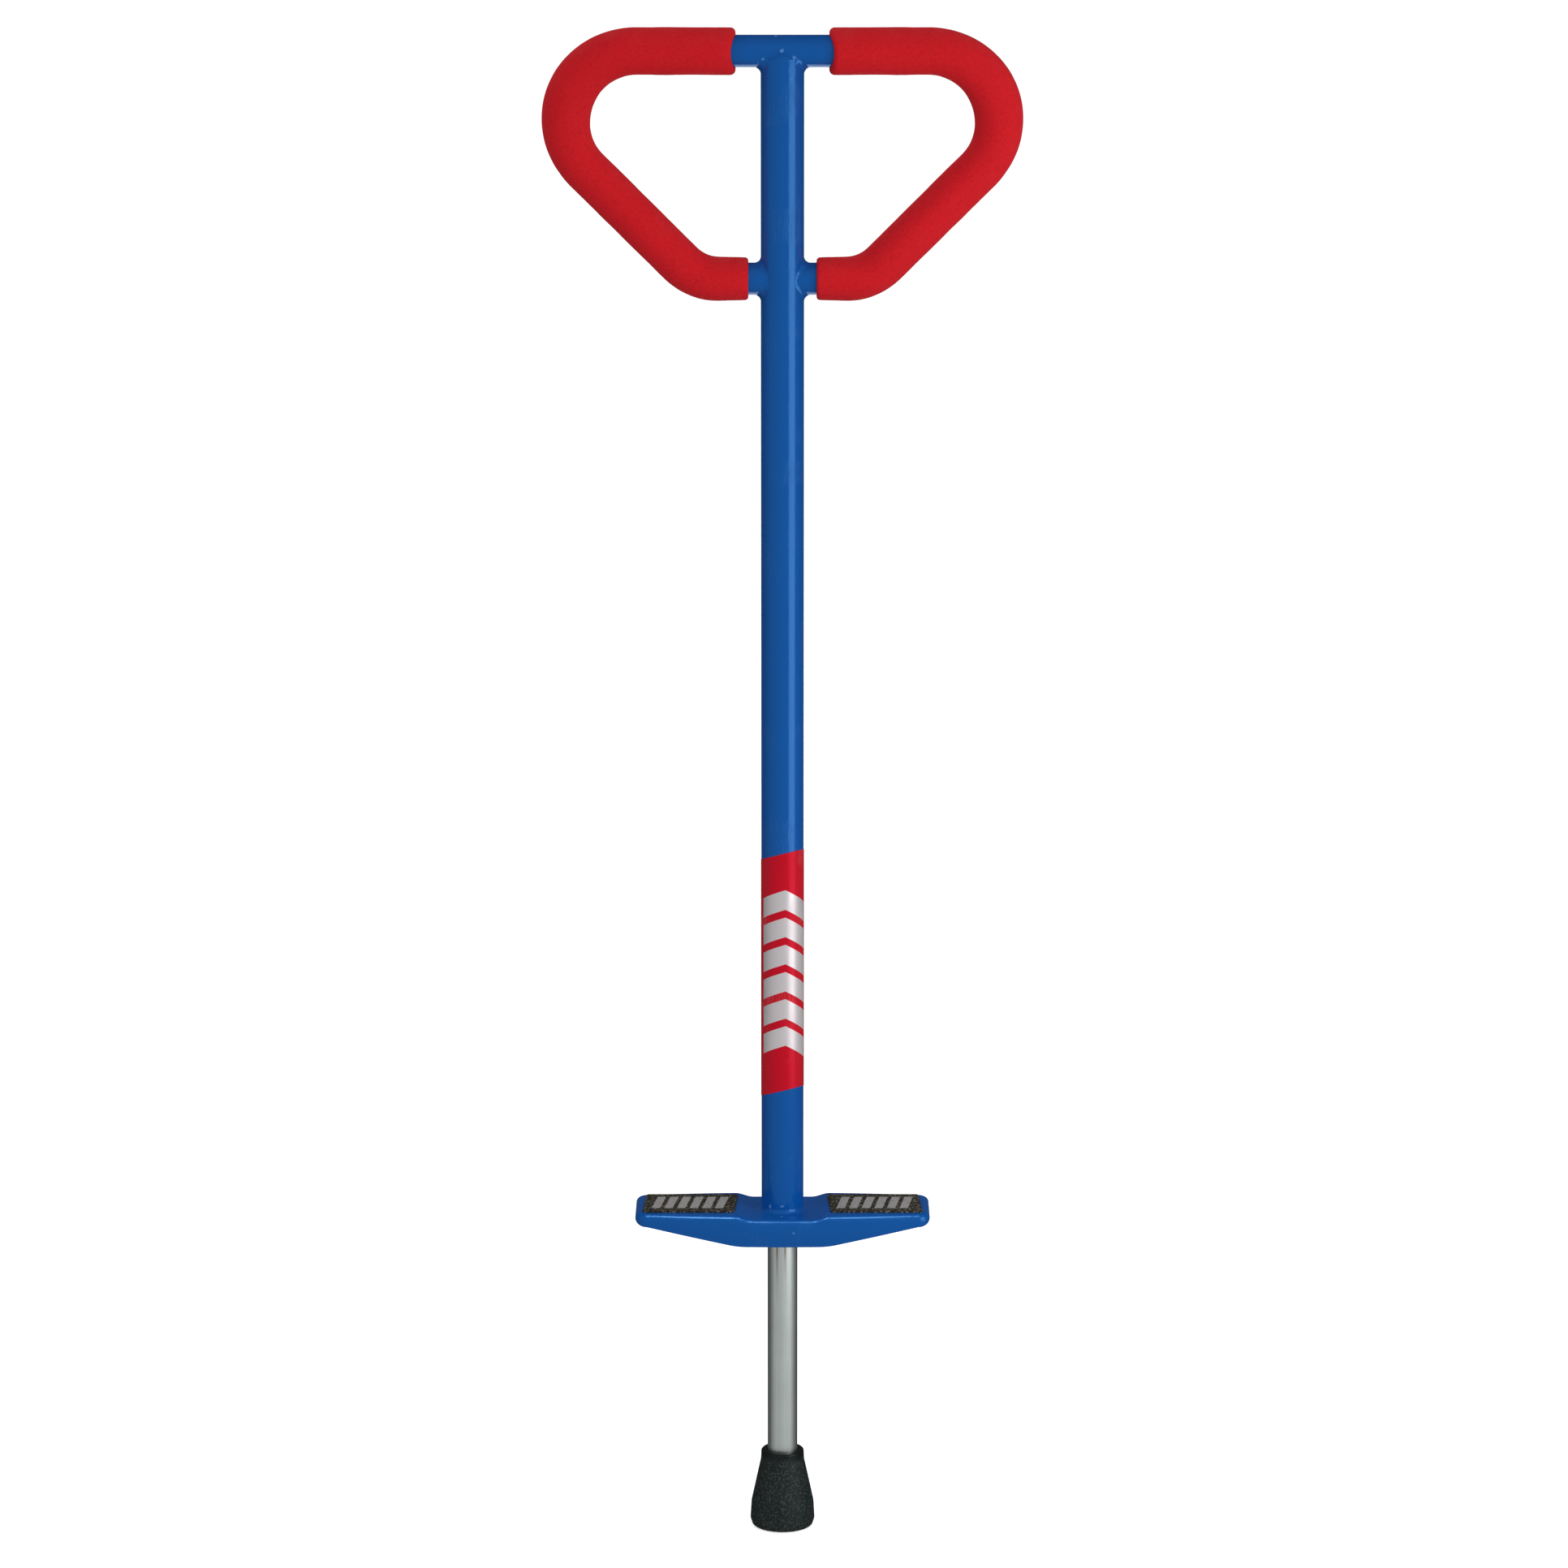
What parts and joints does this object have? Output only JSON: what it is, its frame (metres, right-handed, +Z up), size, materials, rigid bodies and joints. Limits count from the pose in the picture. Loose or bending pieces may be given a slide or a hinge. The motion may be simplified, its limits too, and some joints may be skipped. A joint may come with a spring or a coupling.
{
  "type": "pogo stick",
  "caption": "Spring pogo stick: steel tube with looped foam-covered handles, a pressed foot platform with grit pads, and a sliding sprung shaft with a flared rubber tip.",
  "frame": {"origin": "on the ground, at the centre of the rubber tip's flat base, on the main tube's axis", "axes": "+Z up along the main tube's axis, +X towards the right-hand handle, -Y the front, which is the side that carries the decal artwork"},
  "size_m": [0.3096, 0.0586, 1.013],
  "materials": {
    "blue_paint": "gloss",
    "red_foam": "matte",
    "grit_tape": "matte",
    "red_vinyl": "gloss",
    "black_rubber": "matte",
    "shaft_steel": "satin",
    "zinc_steel": "satin",
    "spring_steel": "satin",
    "nylon": "satin"
  },
  "bodies": {
    "frame": {"main_tube": "blue_paint", "handle_tube": "blue_paint", "crossbar_weld": "blue_paint", "stub_weld_right": "blue_paint", "stub_weld_left": "blue_paint", "foot_platform": "blue_paint", "platform_weld": "blue_paint", "foot_pad_right": "grit_tape", "foot_pad_left": "grit_tape", "foam_grip_right": "red_foam", "foam_grip_left": "red_foam", "tube_decal": "red_vinyl", "lower_bush": "nylon", "bush_screw_right": "zinc_steel", "bush_screw_left": "zinc_steel", "rebound_bumper": "black_rubber", "spring_stop_pin": "blue_paint", "upper_spring_seat": "zinc_steel", "main_spring": "spring_steel"},
    "spring_carriage": {"lower_spring_seat": "zinc_steel"},
    "plunger": {"shaft_tube": "shaft_steel", "upper_guide": "nylon", "guide_pin": "zinc_steel", "tip_disc": "zinc_steel", "rubber_tip": "black_rubber"}
  },
  "joints": [
    {"name": "plunger_slide", "type": "slide", "parent": "frame", "child": "spring_carriage", "axis": [0, 0, 1], "range_m": [0, 0.12], "stiffness_N_per_m": 9250, "springref_m": -0.02, "deforming": ["main_spring"]},
    {"name": "shaft_spin", "type": "hinge", "parent": "spring_carriage", "child": "plunger", "pos_m": [0, 0, 0.3], "axis": [0, 0, 1], "continuous": true}
  ]
}
